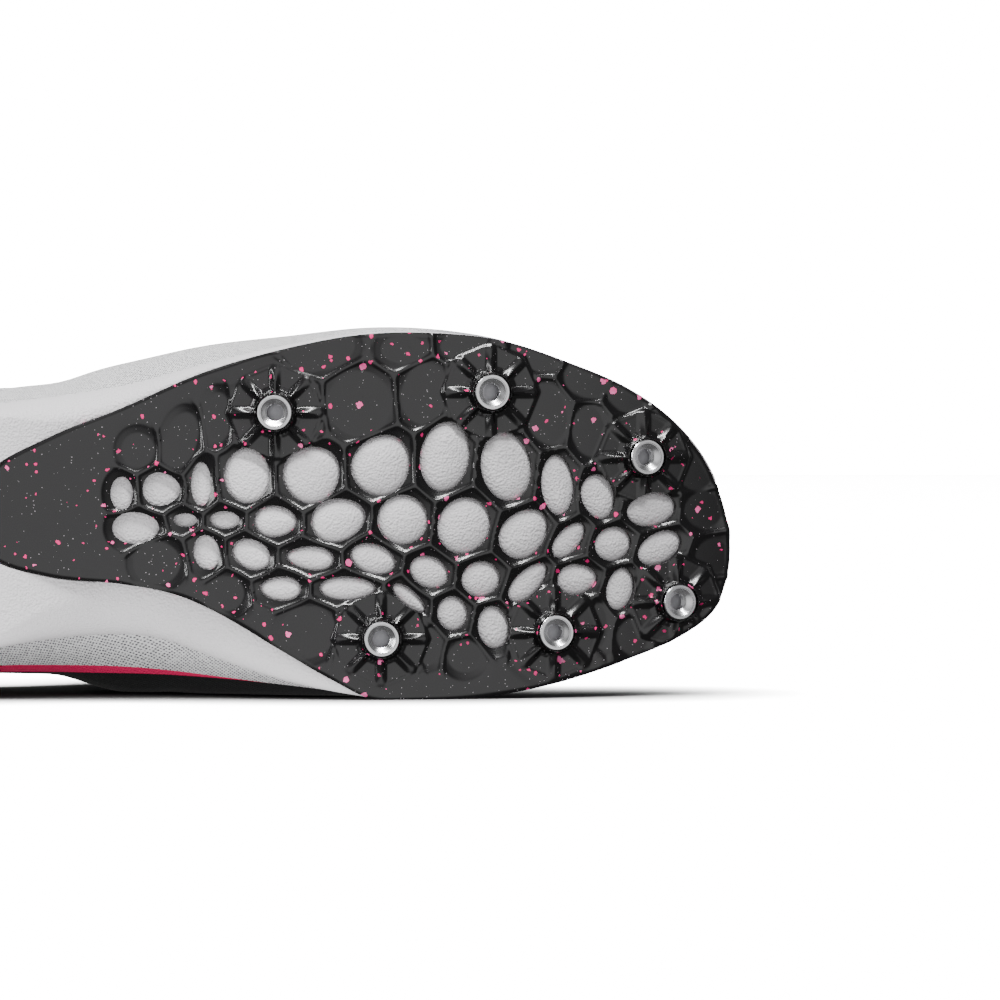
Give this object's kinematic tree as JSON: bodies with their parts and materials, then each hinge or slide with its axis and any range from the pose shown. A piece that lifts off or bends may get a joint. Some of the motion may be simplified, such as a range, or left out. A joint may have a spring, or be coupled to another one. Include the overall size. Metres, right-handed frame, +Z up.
{
  "type": "track spike shoe",
  "caption": "Right track spike shoe lying on its medial side: black perforated spike plate with empty threaded seats, pale foam sole and grey knit upper",
  "frame": {"origin": "middle of the shoe's box, on the floor it lies on", "axes": "+X runs from heel to toe, +Y from the sole to the collar, +Z up from the floor, from the medial to the lateral side"},
  "size_m": [0.2826, 0.1124, 0.099],
  "materials": {
    "plate_plastic": "moulded black nylon with pink specks",
    "sole_foam": "matt moulded foam",
    "insole_cloth": "brushed knit cover",
    "upper_knit": "fine engineered mesh",
    "lace_cloth": "flat woven lace",
    "seat_steel": "turned steel"
  },
  "bodies": {
    "root": {"outsole_plate": "plate_plastic", "midsole": "sole_foam", "insole": "insole_cloth", "upper": "upper_knit", "tongue": "upper_knit", "lace": "lace_cloth", "spike_seat_1": "seat_steel", "spike_seat_2": "seat_steel", "spike_seat_3": "seat_steel", "spike_seat_4": "seat_steel", "spike_seat_5": "seat_steel", "spike_seat_6": "seat_steel"}
  },
  "joints": []
}
